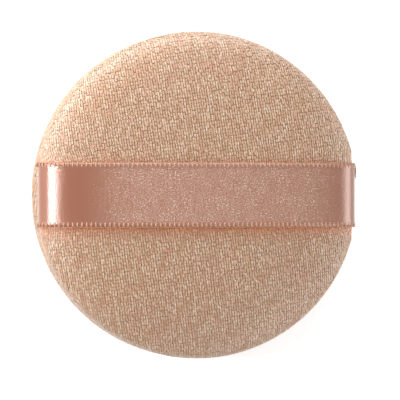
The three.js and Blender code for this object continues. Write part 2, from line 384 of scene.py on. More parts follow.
class Graph:
    """The node tree of one material, or of the world."""

    def __init__(self, owner: bpy.types.Material | bpy.types.World) -> None:
        """Finds the shader and the output that Blender puts into a new tree.

        Args:
            owner: The material or the world.
        """
        owner.use_nodes = True
        self.owner = owner
        self.tree = owner.node_tree
        self.shader = self._first("BSDF_PRINCIPLED", "BACKGROUND")
        self.output = self._first("OUTPUT_MATERIAL", "OUTPUT_WORLD")

    @staticmethod
    def named(name: str) -> Graph:
        """The tree of a new material."""
        return Graph(bpy.data.materials.new(name))

    def _first(self, *kinds: str) -> bpy.types.Node:
        """The tree's first node of one of these types."""
        return next(node for node in self.tree.nodes if node.type in kinds)

    def node(
        self,
        kind: str,
        settings: dict[str, object],
        inputs: dict[str | int, object],
        output: str | int = 0,
    ) -> Wire:
        """Adds any node.

        Args:
            kind: The node's type.
            settings: Its own settings, such as an operation.
            inputs: Values or wires of its input sockets, by name or number.
            output: The output socket that is wanted.

        Returns:
            A wire from that output.
        """
        made = self.tree.nodes.new(kind)
        for key, value in settings.items():
            setattr(made, key, value)
        for key, value in inputs.items():
            self.plug(made.inputs[key], value)
        return Wire(self, made.outputs[output])

    def plug(self, socket: bpy.types.NodeSocket, value: object) -> None:
        """Links a wire to a socket, or sets the socket's own value.

        Args:
            socket: An input socket.
            value: A wire, a number, or a colour of three numbers.
        """
        if isinstance(value, Wire):
            self.tree.links.new(value.socket, socket)
        elif isinstance(value, tuple) and len(value) == 3 and socket.type == "RGBA":
            socket.default_value = (*value, 1.0)
        else:
            socket.default_value = value

    def finish(self, **inputs: object) -> bpy.types.Material | bpy.types.World:
        """Sets the shader's sockets.

        Args:
            **inputs: Values or wires by the sockets' names, with underscores for spaces.

        Returns:
            The material or the world.
        """
        for key, value in inputs.items():
            self.plug(self.shader.inputs[key.replace("_", " ")], value)
        return self.owner

    def number(self, name: str) -> Wire:
        """A number that the mesh keeps at each point."""
        return self.node("ShaderNodeAttribute", {"attribute_name": name}, {}, "Fac")

    def places(self) -> Wire:
        """Object coordinates, in metres."""
        return self.node("ShaderNodeTexCoord", {}, {}, "Object")

    def vector(self, x: Wire | float, y: Wire | float) -> Wire:
        """Two numbers as one flat vector."""
        return self.node("ShaderNodeCombineXYZ", {}, {"X": x, "Y": y})

    def noise(self, grain: float, where: Wire | None = None, detail: float = 2.0) -> Wire:
        """Soft noise about 0.5 whose lumps are about as wide as grain, in the units of where."""
        inputs = {"Vector": where or self.places(), "Scale": 1 / grain, "Detail": detail}
        return self.node("ShaderNodeTexNoise", {}, inputs)

    def mix(
        self,
        share: Wire | float,
        first: Colour | Wire,
        second: Colour | Wire,
        blend: str = "MIX",
    ) -> Wire:
        """The colour that goes from first to its blend with second as share goes from 0 to 1."""
        settings = {"data_type": "RGBA", "blend_type": blend}
        return self.node("ShaderNodeMix", settings, {"Factor": share, 6: first, 7: second}, 2)

    def bump(self, height: Wire, distance: float) -> Wire:
        """A normal that makes height, from 0 to 1, stand distance metres out."""
        return self.node("ShaderNodeBump", {}, {"Height": height, "Distance": distance})

    def seen(self) -> Wire:
        """Tells the rays that show a surface from those that light the puff.

        Returns:
            1 for rays from the camera, through glass and off gloss, 0 for the others.
        """
        rays = ("Is Camera Ray", "Is Transmission Ray", "Is Glossy Ray")
        camera, through, gloss = (self.node("ShaderNodeLightPath", {}, {}, ray) for ray in rays)
        return camera.larger(through).larger(gloss)


@dataclass(frozen=True)
class VelourFinish:
    """Short cut pile: pale tips over a warmer, darker ground, part of it painted shade."""

    name: str = "powder_velour"
    root: Colour = (0.385, 0.19, 0.085)
    tip: Colour = (0.60, 0.45, 0.325)
    rose: Colour = (0.98, 0.83, 0.77)
    olive: Colour = (0.90, 1.0, 0.82)
    # Colour of the painted warm bounce light and shade that the ribbon throws on the pile beside it.
    painted_ribbon_bounce: Colour = (1.15, 0.58, 0.26)
    tone_swing: float = 0.36
    fibre_swing: float = 0.3
    pale_band: Pair = (0.68, 1.15)
    crushed_loss: float = 0.6
    crushed_paleness: float = 0.15
    crushed_rose: float = 0.2
    patch_band: Pair = (0.5, 0.8)
    patch_share: float = 0.6
    rose_band: Pair = (0.5, 0.75)
    olive_band: Pair = (0.25, 0.5)
    tint_share: float = 0.5
    fibre_grain: float = 0.00012
    fibre_relief: float = 0.00003
    patch_grain: float = 0.007
    tint_grain: float = 0.0016
    roughness: float = 0.42
    gloss: float = 0.9
    sheen: float = 0.2
    sheen_roughness: float = 0.8

    def material(self) -> bpy.types.Material:
        """Mixes ground to tip up each tuft, with a tone for each tuft and soft patches of rose.

        Returns:
            The material.
        """
        graph = Graph.named(self.name)
        up, tone = graph.number("tip"), graph.number("tone")
        crushed, beside = graph.number("crushed"), graph.number("beside")
        fibre = graph.noise(self.fibre_grain)
        toned = up * (1 - self.tone_swing / 2 + tone * self.tone_swing)
        pale = (toned + fibre * self.fibre_swing - self.fibre_swing / 2).step(*self.pale_band)
        pale = pale * (1 - crushed * self.crushed_loss) + crushed * self.crushed_paleness
        # Pale tips over the darker ground: the fibres' own colour, and partly painted shade on the
        # tufts' sides and between them.
        body = graph.mix(pale, self.root, self.tip)
        patch = graph.noise(self.patch_grain).step(*self.patch_band) * self.patch_share
        patch = patch + crushed * self.crushed_rose
        tint = graph.noise(self.tint_grain)
        rosy = patch + tint.step(*self.rose_band) * self.tint_share
        leafy = (1 - tint.step(*self.olive_band)) * self.tint_share
        warm = graph.mix(rosy, WHITE, self.rose)
        cool = graph.mix(leafy, WHITE, self.olive)
        tinted = graph.mix(1.0, warm, cool, "MULTIPLY")
        # Paints the ribbon's warm bounce light and shade on the pile, by the number beside.
        with_painted_bounce = graph.mix(beside, tinted, self.painted_ribbon_bounce)
        return graph.finish(
            Base_Color=graph.mix(1.0, body, with_painted_bounce, "MULTIPLY"),
            Roughness=self.roughness,
            Sheen_Weight=self.sheen,
            Sheen_Roughness=self.sheen_roughness,
            Specular_IOR_Level=self.gloss,
            Normal=graph.bump(fibre, self.fibre_relief),
        )


@dataclass(frozen=True)
class SatinFinish:
    """Polyester satin: a smooth sheen broken by fine weft lines and a painted silvery glint."""

    name: str = "ribbon_satin"
    base: Colour = (0.25, 0.08, 0.036)
    # Colour of the painted paler sheen over the ribbon's middle.
    painted_middle_sheen: Colour = (0.325, 0.145, 0.083)
    # Colour of the painted glints and of the glinting weft lines.
    painted_glint: Colour = (0.80, 0.66, 0.58)
    # Colour of the painted dark specks among the glints.
    shade: Colour = (0.20, 0.07, 0.03)
    # Colour of the painted shade in the recesses between the edge loops.
    gap_shade: Colour = (0.27, 0.10, 0.05)
    painted_sheen_share: float = 0.9
    gap_shade_share: float = 0.8
    line_pitch: float = 0.0005
    line_stretch: float = 0.12
    line_middle: float = 0.4
    line_share: float = 0.4
    float_pitch: float = 0.00016
    strand_pitch: float = 0.00024
    strand_stretch: float = 0.08
    speckle_grain: float = 0.00033
    speckle_detail: float = 3.0
    sparkle_band: Pair = (0.55, 0.68)
    sparkle_least: float = 0.4
    sparkle_drift: float = 0.55
    drift_grain: float = 0.0035
    drift_band: Pair = (0.38, 0.62)
    dark_band: Pair = (0.30, 0.44)
    dark_share: float = 0.5
    relief: float = 0.00004
    float_relief: float = 0.06
    strand_relief: float = 0.1
    speckle_relief: float = 1.05
    roughness: float = 0.15
    speckle_roughness: float = 0.25
    metallic: float = 0.1
    gloss: float = 0.9
    sheen: float = 0.45
    sheen_roughness: float = 0.35

    def material(self) -> bpy.types.Material:
        """Long floats and speckle follow the ribbon's own length and width.

        The floats are fine ridges along the ribbon, which spread a reflection across it and keep it
        narrow along it.

        Returns:
            The material.
        """
        graph = Graph.named(self.name)
        along, across = graph.number("along"), graph.number("across")
        lit, edge = graph.number("glint"), graph.number("edge")
        flat = graph.vector(along, across)
        lengthways = graph.vector(along * self.strand_stretch, across)
        crossways = graph.vector(along, across * self.line_stretch)
        floats = (across * (1 / self.float_pitch)).zigzag()
        strands = graph.noise(self.strand_pitch, lengthways)
        lines = graph.noise(self.line_pitch, crossways) - self.line_middle
        speckle = graph.noise(self.speckle_grain, flat, self.speckle_detail)
        drift = graph.noise(self.drift_grain, flat).step(*self.drift_band)
        # Painted light over the middle: glints, dark specks, glinting weft lines and a paler sheen,
        # scaled by the glint number.
        sparkle = speckle.step(*self.sparkle_band) * lit
        sparkle = sparkle * (self.sparkle_least + drift * self.sparkle_drift)
        dark = (1 - speckle.step(*self.dark_band)) * lit * self.dark_share
        body = graph.mix(lit * self.painted_sheen_share, self.base, self.painted_middle_sheen)
        lined = graph.mix(lines * self.line_share * lit, body, self.painted_glint)
        shaded = graph.mix(dark, lined, self.shade)
        lively = graph.mix(sparkle, shaded, self.painted_glint)
        relief = floats * self.float_relief + strands * self.strand_relief
        relief = relief + speckle * self.speckle_relief
        # The selvedge under the loops, where the number edge is high, gets the painted shade.
        return graph.finish(
            Base_Color=graph.mix(edge * self.gap_shade_share, lively, self.gap_shade),
            Roughness=self.roughness + lit * speckle * self.speckle_roughness,
            Metallic=self.metallic,
            Specular_IOR_Level=self.gloss,
            Sheen_Weight=self.sheen,
            Sheen_Roughness=self.sheen_roughness,
            Normal=graph.bump(relief, self.relief),
        )


@dataclass(frozen=True)
class YarnFinish:
    """Twisted or looped yarn, with a painted warm glow where it turns round an edge."""

    name: str
    base: Colour
    pale: Colour
    # Colour of the painted glow of light through the ribbon's edge.
    warm: Colour = (0.68, 0.23, 0.075)
    pale_band: Pair = (0.3, 0.75)
    grain: float = 0.00015
    detail: float = 3.0
    relief: float = 0.00002
    roughness: float = 0.45
    gloss: float = 0.7

    def material(self) -> bpy.types.Material:
        """Fine filaments over one colour.

        Returns:
            The material.
        """
        graph = Graph.named(self.name)
        strands = graph.noise(self.grain, None, self.detail)
        body = graph.mix(strands.step(*self.pale_band), self.base, self.pale)
        return graph.finish(
            # The number outer paints a warm glow of light through the ribbon's edge.
            Base_Color=graph.mix(graph.number("outer"), body, self.warm),
            Roughness=self.roughness,
            Specular_IOR_Level=self.gloss,
            Normal=graph.bump(strands, self.relief),
        )


@dataclass(frozen=True)
class FoamFinish:
    """Open-cell foam."""

    name: str = "cream_foam"
    wall: Colour = (0.86, 0.80, 0.65)
    pore: Colour = (0.55, 0.47, 0.34)
    cell: float = 0.0006
    wall_band: Pair = (0.05, 0.3)
    relief: float = 0.0001
    roughness: float = 0.95

    def material(self) -> bpy.types.Material:
        """Dark pores between pale walls.

        Returns:
            The material.
        """
        graph = Graph.named(self.name)
        cells = graph.node(
            "ShaderNodeTexVoronoi",
            {"feature": "DISTANCE_TO_EDGE"},
            {"Vector": graph.places(), "Scale": 1 / self.cell},
            "Distance",
        )
        walls = 1 - cells.step(*self.wall_band)
        return graph.finish(
            Base_Color=graph.mix(walls, self.pore, self.wall),
            Roughness=self.roughness,
            Normal=graph.bump(walls, self.relief),
        )


class Side(Enum):
    """Which way a cover's outside faces along Z."""

    UP = 1
    DOWN = -1


@dataclass(frozen=True)
class Shoulder:
    """A side view from the middle of a pad, over its shoulder and into the seam, by its sizes."""

    radius: float
    flat: float
    top: float
    crown: float
    lobe: float
    floor: float
    draw: float
    power: float

    def points(self, steps: int, folds: int) -> np.ndarray:
        """Works the line out.

        The shoulder is a squared-off quarter ellipse beyond the flat, sin and cos raised to 2 over
        power, with a shallow dome on top. The fold is a quarter ellipse that ends level.

        Args:
            steps: Steps along the shoulder.
            folds: Steps along the fold.

        Returns:
            Points (radius, height away from the seam plane), one a row.
        """
        turn = np.linspace(0, QUARTER_TURN, steps + 1)
        out = np.sin(turn) ** (2 / self.power)
        rise = np.maximum(np.cos(turn), 0) ** (2 / self.power)
        r = self.flat + (self.radius - self.flat) * out
        dome = self.crown * (1 - (r / self.radius) ** 2)
        height = self.lobe + (self.top - self.crown - self.lobe) * rise + dome
        turn = np.linspace(0, QUARTER_TURN, folds + 1)[1:]
        fold_r = self.radius - self.draw * (1 - np.cos(turn))
        fold_height = self.lobe - (self.lobe - self.floor) * np.sin(turn)
        return np.stack([np.append(r, fold_r), np.append(height, fold_height)], axis=1)


@dataclass(frozen=True)
class Pad:
    """The stuffed pad's sizes. What the frame shows is read from it."""

    rim_radius: float
    seam_height: float
    back_top: float
    gap_half: float
    ribbon_width: float
    seam_draw: float = 0.0012
    rest_radius: float = 0.022
    back_lobe_share: float = 0.22
    face_lobe_share: float = 0.4
    crown_share: float = 0.08
    shoulder_power: float = 2.7
    velour_thickness: float = 0.0016
    allowance_width: float = 0.006
    allowance_thickness: float = 0.0009
    clearance: float = 0.0003
    ribbon_draw: float = 0.0014
    draw_spread: float = 0.0035
    draw_blend: float = 0.014
    thread_radius: float = 0.000125
    thread_clearance: float = 0.00012

    @staticmethod
    def from_frame() -> Pad:
        """Reads the rim, the seam and the ribbon's width from the frame.

        Returns:
            The pad.
        """
        back_low, back_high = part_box("back_cover")
        _, face_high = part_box("face_cover")
        ribbon_low, ribbon_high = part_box("satin_ribbon")
        seam = (back_low.z + face_high.z) / 2
        return Pad(
            rim_radius=back_high.y,
            seam_height=seam,
            back_top=back_high.z - seam,
            gap_half=(back_low.z - face_high.z) / 2,
            ribbon_width=ribbon_high.y - ribbon_low.y,
        )

    @property
    def fold_radius(self) -> float:
        """The rim seam's fold."""
        return self.rim_radius - self.seam_draw

    @property
    def slot_end(self) -> float:
        """The inner end of the foam's slot for the allowances."""
        return self.fold_radius - self.allowance_width - self.clearance

    @property
    def stack_half(self) -> float:
        """Seam plane to the far side of an allowance."""
        return self.gap_half + self.allowance_thickness

    @property
    def run_height(self) -> float:
        """Seam plane to the middle of a thread that runs along the cloth."""
        return self.stack_half + self.thread_radius + self.thread_clearance

    @property
    def back_lobe(self) -> float:
        """Seam plane to the widest part of the back."""
        return self.back_top * self.back_lobe_share

    @property
    def face_lobe(self) -> float:
        """Seam plane to the widest part of the powder face."""
        return self.seam_height * self.face_lobe_share

    @property
    def crown(self) -> float:
        """The height of the dome on the back."""
        return self.back_top * self.crown_share

    def drawn_in(self, points: np.ndarray) -> np.ndarray:
        """Pulls the rim in to a straight chord at each end of the ribbon.

        The pull takes ribbon_draw less the bulge of the rim's arc. It fades out beside the ribbon,
        towards the middle of the pad and down to the widest part of the powder face.

        Args:
            points: Points with heights over the seam plane, one a row.

        Returns:
            The moved points.
        """
        x, y, z = points.T
        half = self.ribbon_width / 2
        chord = np.minimum(np.abs(y), half)
        bulge = self.rim_radius - np.sqrt(self.rim_radius**2 - chord**2)
        beside = 1 - smooth_step(np.abs(y), half, half + self.draw_spread)
        outward = smooth_step(np.abs(x), self.slot_end - self.draw_blend, self.slot_end)
        above = 1 - smooth_step(-z, self.run_height + self.thread_radius, self.face_lobe)
        pull = np.sign(x) * (self.ribbon_draw - bulge) * beside * outward * above
        return np.stack([x - pull, y, z], axis=1)

    def in_place(self, points: np.ndarray) -> np.ndarray:
        """Draws points in and lifts them from the seam plane to their height over the table."""
        return self.drawn_in(points) + (0, 0, self.seam_height)

    def outline(self, side: Side, inset: float, floor: float, steps: int, folds: int) -> np.ndarray:
        """Half of a cover's side view, from the axis over the shoulder and into the seam.

        Args:
            side: Which cover.
            inset: How far inside the pad's outside it lies.
            floor: Height over the seam plane where it ends.
            steps: Steps along the shoulder.
            folds: Steps along the fold.

        Returns:
            Points (radius, height away from the seam plane), one a row.
        """
        up = side is Side.UP
        line = Shoulder(
            radius=self.rim_radius - inset,
            flat=0.0 if up else self.rest_radius,
            top=(self.back_top if up else self.seam_height) - inset,
            crown=self.crown if up else 0.0,
            lobe=self.back_lobe if up else self.face_lobe,
            floor=floor,
            draw=self.seam_draw,
            power=self.shoulder_power,
        ).points(steps, folds)
        return line if up else np.concatenate([[[0.0, line[0, 1]]], line])


@dataclass(frozen=True)
class Meridian:
    """The line from the middle of a cover to its seam, to look up by the cloth's own length.

    Its rows hold radius, height and slope.
    """

    length: np.ndarray
    rows: np.ndarray

    @staticmethod
    def of(outline: np.ndarray) -> Meridian:
        """Measures along an outline, and the direction in which each of its points goes on.

        Args:
            outline: Points (radius, height), one a row.

        Returns:
            The line.
        """
        length = run_along(outline)
        along = np.gradient(outline, length, axis=0)
        slope = np.unwrap(np.arctan2(along[:, 1], along[:, 0]))
        return Meridian(length, np.column_stack([outline, slope]))

    def at(self, length: np.ndarray) -> list[np.ndarray]:
        """Radius, height and slope at lengths from the middle."""
        return looked_up(length, self.length, self.rows)


@dataclass(frozen=True)
class Pile:
    """Tufts of the knitted velour, one for each loop of the knit."""

    wale_pitch: float = 0.000607
    course_pitch: float = 0.000812
    bias: float = math.radians(8)
    height: float = 0.0003
    tallness: Pair = (0.85, 1.0)
    proud: float = 0.00012
    half_across: float = 0.00022
    half_along: float = 0.00040
    swell: Pair = (0.9, 1.1)
    root_share: float = 0.95
    shoulder_share: float = 0.6
    shoulder_tip: float = 0.75
    sink: float = 0.0001
    jitter: Pair = (0.06, 0.13)
    lean: float = 0.00014
    lean_middle: Pair = (0.0, -0.8)
    lean_spread: float = 0.5
    crushed_lean: float = 0.4
    crush: float = 0.15
    crushed_band: Pair = (0.6, 1.5)
    twist: float = 0.14
    patch_length: float = 0.0042
    streak_length: float = 0.006
    streak_slimness: float = 3
    streak_band: Pair = (-1.5, 1.5)
    streak_share: float = 0.45
    tone_power: float = 1.5
    tone_share: float = 0.7
    # How far the painted bounce light and shade from the ribbon reach above and below it.
    glow_above: float = 0.0028
    glow_above_share: float = 0.45
    glow_below: float = 0.0046
    softness: float = 0.85
    map_root: float = 0.67
    map_head: float = 0.44
    map_width: float = 0.87
    map_hidden: tuple[Pair, ...] = ((0.0, 0.9), (0.02, 0.9), (0.02, 0.92), (0.0, 0.92))

    def lattice(self, reach: float) -> np.ndarray:
        """Places of the knit's loops in the flat cloth: columns and rows, turned by the bias.

        Args:
            reach: The cloth's radius.

        Returns:
            The places, one a row.
        """
        count = int(reach / self.wale_pitch) + 1
        column, row = np.meshgrid(np.arange(-count, count + 1), np.arange(-count, count + 1))
        flat = np.stack([column.ravel() * self.wale_pitch, row.ravel() * self.course_pitch], axis=1)
        flat = turned(flat, self.bias)
        return flat[np.hypot(*flat.T) < reach]

    def map_of(
        self, home: np.ndarray, reach: float, walls: np.ndarray, caps: np.ndarray
    ) -> tuple[np.ndarray, np.ndarray]:
        """Lays every tuft out flat at its own loop: the head inside its walls, and the root apart.

        Args:
            home: The loops' places in the flat cloth.
            reach: The cloth's radius.
            walls: The four walls of a tuft and its root, by their corners.
            caps: The four triangles of its head.

        Returns:
            The maps of all walls and roots and of all heads.
        """
        angle = QUARTER_TURN * (np.arange(4) + 0.5)
        wide, high = -np.cos(angle) * self.wale_pitch, np.sin(angle) * self.course_pitch
        corners = np.stack([wide, high], axis=1)
        rings = np.concatenate([corners * self.map_root, corners * self.map_head, [[0, 0]]])
        flat = home[:, None] + turned(rings, self.bias)
        places = (flat / (2 * reach + self.course_pitch) + 0.5) * self.map_width
        quads = places[:, walls]
        quads[:, 4] = self.map_hidden
        return quads.reshape(-1, 4, 2), places[:, caps].reshape(-1, 3, 2)

    def stance(self, flat: np.ndarray, meridian: Meridian) -> tuple[np.ndarray, ...]:
        """How the tufts stand on the cloth once it is bent over the pad.

        A place at a length and turn from the middle goes to the meridian's radius and height there.
        The wales turn with it, and less where the cloth is gathered.

        Args:
            flat: The tufts' places in the flat cloth.
            meridian: The line of the tufts' tips.

        Returns:
            Their tips, and the directions out of the cloth, along the wales and across them.
        """
        length, turn = np.hypot(*flat.T), np.arctan2(flat[:, 1], flat[:, 0])
        radius, height, slope = meridian.at(length)
        c, s = np.cos(turn), np.sin(turn)
        outward = np.stack([c * np.cos(slope), s * np.cos(slope), np.sin(slope)], axis=1)
        normal = np.stack([-c * np.sin(slope), -s * np.sin(slope), np.cos(slope)], axis=1)
        round_about = np.stack([-s, c, np.zeros(len(flat))], axis=1)
        wale = self.bias + QUARTER_TURN - turn
        gathered = radius / np.maximum(length, SHORTEST)
        sideways = round_about * (np.sin(wale) * gathered)[:, None]
        along = unit(outward * np.cos(wale)[:, None] + sideways)
        tip = np.stack([c * radius, s * radius, height], axis=1)
        return tip, normal, along, np.cross(normal, along)

    def tones(self, flat: np.ndarray, chance: np.ndarray, seed: int) -> np.ndarray:
        """How pale each tuft is, from 0 to 1: its own chance, and streaks along the wales.

        Args:
            flat: The tufts' places in the flat cloth.
            chance: A random number for each tuft.
            seed: Picks the streaks.

        Returns:
            One number a tuft.
        """
        squeeze = self.streak_length / self.wale_pitch / self.streak_slimness
        knit = turned(flat, -self.bias) * (squeeze, 1)
        streaks = smooth_step(drifting_noise(knit, self.streak_length, seed), *self.streak_band)
        own = chance**self.tone_power * self.tone_share
        return np.clip(own + streaks * self.streak_share, 0, 1)

    def painted_bounce_mask(self, pad: Pad, side: Side, flat: np.ndarray) -> np.ndarray:
        """Painted warm bounce light and shade from the ribbon: 1 under it, fading beside it.

        Args:
            pad: The pad that the cloth covers.
            side: Which cover.
            flat: The tufts' places in the flat cloth.

        Returns:
            One number a tuft.
        """
        if side is Side.DOWN:
            return np.zeros(len(flat))
        past = np.abs(flat[:, 1]) - pad.ribbon_width / 2
        above = flat[:, 1] > 0
        reach = np.where(above, self.glow_above, self.glow_below)
        share = np.where(above, self.glow_above_share, 1.0)
        return share * np.clip(1 - past / reach, 0, 1) ** 2

    def tufts(self, pad: Pad, side: Side, meridian: Meridian, reach: float, seed: int) -> Surface:
        """One four-sided, round-headed tuft at each loop of the knit.

        A tuft is a ring of corners at its root, one at its shoulder and an apex. It leans in
        proportion to its height.

        Args:
            pad: The pad that the cloth covers.
            side: Which cover.
            meridian: The line of the tufts' tips.
            reach: Length of cloth from the middle that carries tufts.
            seed: Picks the jitter.

        Returns:
            Closed tufts, with the numbers tip, tone, crushed and beside.
        """
        random = np.random.default_rng(seed)
        home = self.lattice(reach)
        pitch = np.array([self.wale_pitch, self.course_pitch])
        flat = home + random.normal(0, 1, home.shape) * pitch * self.jitter
        count = len(flat)
        tip, normal, along, across = self.stance(flat, meridian)
        crushed = smooth_step(drifting_noise(flat, self.patch_length, seed + 1), *self.crushed_band)
        tone = self.tones(flat, random.uniform(0, 1, count), seed + 2)
        tall = self.height * (1 - self.crush * crushed) * random.uniform(*self.tallness, count)
        root = tip - normal * (self.height - self.proud)
        bend = random.normal(0, self.lean_spread, (count, 2)) + self.lean_middle
        bend = bend * (self.lean * (1 + self.crushed_lean * crushed))[:, None]
        lean = across * bend[:, :1] + along * bend[:, 1:]
        spin = QUARTER_TURN / 2 + random.normal(0, self.twist, count)
        swell = random.uniform(*self.swell, count)

        def ring(share: float, wide: float, drop: float) -> np.ndarray:
            """The corners round each tuft at one height.

            Args:
                share: The share of the tuft's height.
                wide: The share of its width.
                drop: How far they lie below that height.

            Returns:
                Points as (tuft, corner, 3).
            """
            angle = spin[:, None] + np.arange(4) * QUARTER_TURN
            right = across[:, None] * (np.cos(angle) * self.half_across)[..., None]
            ahead = along[:, None] * (np.sin(angle) * self.half_along)[..., None]
            middle = root + normal * (tall * share - drop)[:, None] + lean * share
            return middle[:, None] + (right + ahead) * (wide * math.sqrt(2) * swell)[:, None, None]

        bottom = ring(0.0, self.root_share, self.sink)
        shoulder = ring(self.shoulder_share, 1.0, 0.0)
        apex = root + normal * tall[:, None] + lean
        aside = unit(shoulder - shoulder.mean(axis=1, keepdims=True))
        facing = unit(aside * (1 - self.softness) + normal[:, None] * self.softness)
        points = np.concatenate([bottom, shoulder, apex[:, None]], axis=1).reshape(-1, 3)
        normals = np.concatenate([facing, facing, normal[:, None]], axis=1).reshape(-1, 3)
        heights = np.repeat((0.0, self.shoulder_tip, 1.0), (4, 4, 1))
        starts = (np.arange(count) * len(heights))[:, None, None]
        walls = np.array([[0, 1, 5, 4], [1, 2, 6, 5], [2, 3, 7, 6], [3, 0, 4, 7], [3, 2, 1, 0]])
        caps = np.array([[4, 5, 8], [5, 6, 8], [6, 7, 8], [7, 4, 8]])
        if side is Side.UP:
            walls, caps = walls[:, ::-1], caps[:, ::-1]
        kept = {"tone": tone, "crushed": crushed, "beside": self.painted_bounce_mask(pad, side, flat)}
        numbers = {name: np.repeat(values, len(heights)) for name, values in kept.items()}
        return Surface(
            pad.in_place(points * (1, 1, side.value)),
            (walls + starts).reshape(-1, 4),
            (caps + starts).reshape(-1, 3),
            {"tip": np.tile(heights, count), **numbers},
            normals * (1, 1, side.value),
            *self.map_of(home, reach, walls, caps),
        )


@dataclass(frozen=True)
class VelourCover:
    """One half of the puff's skin: a cup of cloth, turned in at the seam, with its pile."""

    name: str
    node: str
    side: Side
    pad: Pad
    finish: bpy.types.Material
    seed: int
    pile: Pile = Pile()
    fill: float = 0.85
    segments: int = 128
    steps: int = 28
    folds: int = 5
    inner_steps: int = 9
    line_steps: int = 600
    line_folds: int = 60
    bare_edge: float = 0.0006
    ground_grey: float = 0.5
    map_box: tuple[Pair, Pair] = ((0.89, 0.0), (1.0, 1.0))

    def cloth(self) -> Surface:
        """The knitted ground: outside, turned-in allowance and inside, as one closed cup.

        Returns:
            The cup.
        """
        pad = self.pad
        depth = self.pile.height - self.pile.proud
        outside = pad.outline(self.side, depth, pad.gap_half, self.steps, self.folds)
        inside = pad.outline(
            self.side, pad.velour_thickness, pad.stack_half, self.inner_steps, self.folds
        )
        end = pad.fold_radius - pad.allowance_width
        edge = [[end, pad.gap_half], [end, pad.stack_half]]
        profile = np.concatenate([outside[1:], edge, inside[:0:-1]]) * (1, self.side.value)
        middles = np.array([[0, 0, outside[0, 1]], [0, 0, inside[0, 1]]]) * self.side.value
        order = -self.side.value
        cup = Surface.skinned(revolved(profile, self.segments)[::order])
        cup.points[-2:] = middles[::order]
        cup.points = pad.in_place(cup.points)
        cup.numbers["tone"] = np.full(len(cup.points), self.ground_grey)
        return cup

    def build(self) -> list[bpy.types.Object]:
        """Covers the cloth with its pile.

        Returns:
            The cover's piece, which replaces its solid.
        """
        pad = self.pad
        outside = pad.outline(self.side, 0.0, pad.gap_half, self.line_steps, self.line_folds)
        meridian = Meridian.of(outside)
        reach = meridian.length[-1] - self.bare_edge
        tufts = self.pile.tufts(pad, self.side, meridian, reach, self.seed)
        cloth = self.cloth().mapped_into(*self.map_box)
        piece = Surface.joined([cloth, tufts]).to_object(self.name, self.finish)
        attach(piece, Body.PUFF.value)
        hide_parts(self.node)
        return [piece]


@dataclass(frozen=True)
class FoamCore:
    """The foam that fills both covers, with a slot round its rim for the allowances."""

    pad: Pad
    finish: bpy.types.Material
    segments: int = 120
    steps: int = 24
    folds: int = 5

    def build(self) -> list[bpy.types.Object]:
        """Turns both halves of the side view round the axis as one body.

        Returns:
            The foam's piece, which replaces its solid.
        """
        pad = self.pad
        inset = pad.velour_thickness + pad.clearance
        floor = pad.run_height + pad.thread_radius + pad.thread_clearance
        back, face = (
            np.append(
                pad.outline(side, inset, floor, self.steps, self.folds)[1:],
                [[pad.slot_end, floor]],
                axis=0,
            )
            for side in (Side.UP, Side.DOWN)
        )
        profile = np.concatenate([face * (1, -1), back[::-1]])
        body = Surface.skinned(revolved(profile, self.segments))
        body.points = pad.in_place(body.points)
        piece = body.to_object("foam_pad", self.finish)
        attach(piece, Body.PUFF.value)
        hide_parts("foam_core")
        return [piece]


@dataclass(frozen=True)
class RibbonLine:
    """Side view of the ribbon's middle, by its own length from the left tail to the right one."""

    length: np.ndarray
    points: np.ndarray

    @staticmethod
    def over(
        pad: Pad,
        thickness: float,
        bow: float,
        tail: float,
        steps: int,
        shoulder_steps: int = 399,
        fold_steps: int = 59,
    ) -> RibbonLine:
        """From one tail over the back to the other.

        Each half is a shoulder as on the pad, a fold into the seam and a straight tail.

        Args:
            pad: The pad that it crosses.
            thickness: The ribbon's thickness at its edges.
            bow: How much further its middle stands off the crown than its ends off the rim.
            tail: Length caught in the seam.
            steps: Steps in the whole line.
            shoulder_steps: Steps along each shoulder before they are spaced evenly.
            fold_steps: Steps along each fold, likewise.

        Returns:
            The line, with points (distance along X, height over the seam plane), evenly spaced.
        """
        stand_off = pad.clearance + thickness / 2
        shoulder = Shoulder(
            radius=pad.rim_radius - pad.ribbon_draw + stand_off,
            flat=0.0,
            top=pad.back_top + stand_off + bow,
            crown=pad.crown + bow,
            lobe=pad.back_lobe,
            floor=0.0,
            draw=pad.seam_draw,
            power=pad.shoulder_power,
        ).points(shoulder_steps, fold_steps)
        end = [[pad.fold_radius - pad.ribbon_draw - tail, 0.0]]
        half = np.concatenate([shoulder, end])
        line = np.concatenate([half[:0:-1] * (-1, 1), half])
        length = run_along(line)
        even = np.linspace(0, length[-1], steps + 1)
        return RibbonLine(even, np.stack(looked_up(even, length, line), axis=1))

    def frame_at(self, length: np.ndarray) -> tuple[np.ndarray, np.ndarray, np.ndarray]:
        """Looks up how the ribbon lies.

        Args:
            length: Lengths from the end of the left tail.

        Returns:
            The places there in 3D, and the directions along the line and out of its upper face.
        """
        along = np.gradient(self.points, self.length, axis=0)
        x, z, ax, az = looked_up(length, self.length, np.hstack([self.points, along]))
        zero = np.zeros(np.shape(length))
        forward = unit(np.stack([ax, zero, az], axis=-1))
        out = np.stack([-forward[..., 2], zero, forward[..., 0]], axis=-1)
        return np.stack([x, zero, z], axis=-1), forward, out


def bend_with_lift(piece: bpy.types.Object) -> None:
    """Bakes a satin piece's placement into its mesh.

    Args:
        piece: The piece.
    """
    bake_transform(piece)


@dataclass(frozen=True)
class Edge:
    """What differs between the ribbon's two edges: side along Y, loops and painted glow."""

    sign: int
    slant: float
    painted_loop_glow: float
    painted_cord_glow: float


